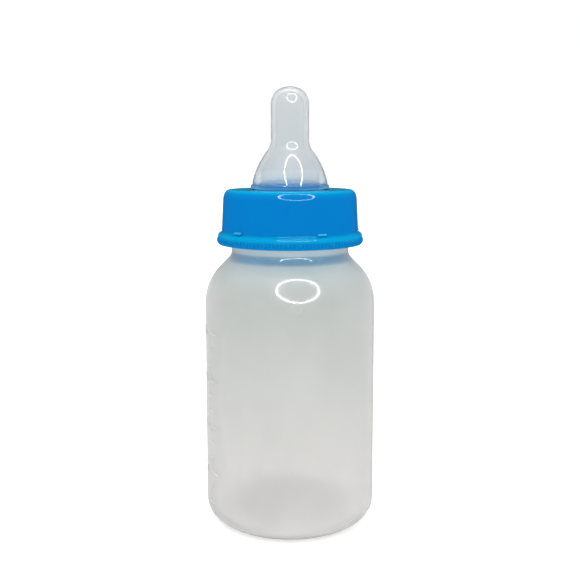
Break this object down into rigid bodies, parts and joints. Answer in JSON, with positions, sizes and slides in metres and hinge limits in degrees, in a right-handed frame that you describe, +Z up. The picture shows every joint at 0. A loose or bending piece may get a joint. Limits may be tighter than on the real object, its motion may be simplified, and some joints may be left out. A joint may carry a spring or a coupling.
{
  "type": "baby bottle",
  "caption": "Small upright feeding bottle: a translucent threaded bottle, a blue screw collar and a soft clear teat clamped between them.",
  "frame": {"origin": "centre of the bottle's base, on the surface that it stands on", "axes": "+Z up along the bottle's axis towards the teat; -Y is the front, the side turned to the viewer"},
  "size_m": [0.0536, 0.0536, 0.1362],
  "materials": {
    "bottle_plastic": "satin",
    "collar_plastic": "gloss",
    "teat_silicone": "satin"
  },
  "bodies": {
    "bottle": {"bottle": "bottle_plastic"},
    "teat": {"teat": "teat_silicone"},
    "collar": {"collar": "collar_plastic"}
  },
  "joints": [
    {"name": "teat_lift", "type": "slide", "parent": "bottle", "child": "teat", "axis": [0, 0, 1], "range_m": [0, 0.00676]},
    {"name": "collar_turn", "type": "hinge", "parent": "teat", "child": "collar", "pos_m": [0, 0, 0.0876], "axis": [0, 0, 1], "range_deg": [0, 540]}
  ],
  "couplings": [
    {"joint": "teat_lift", "follows": "collar_turn", "m_per_rad": 0.0007162}
  ]
}
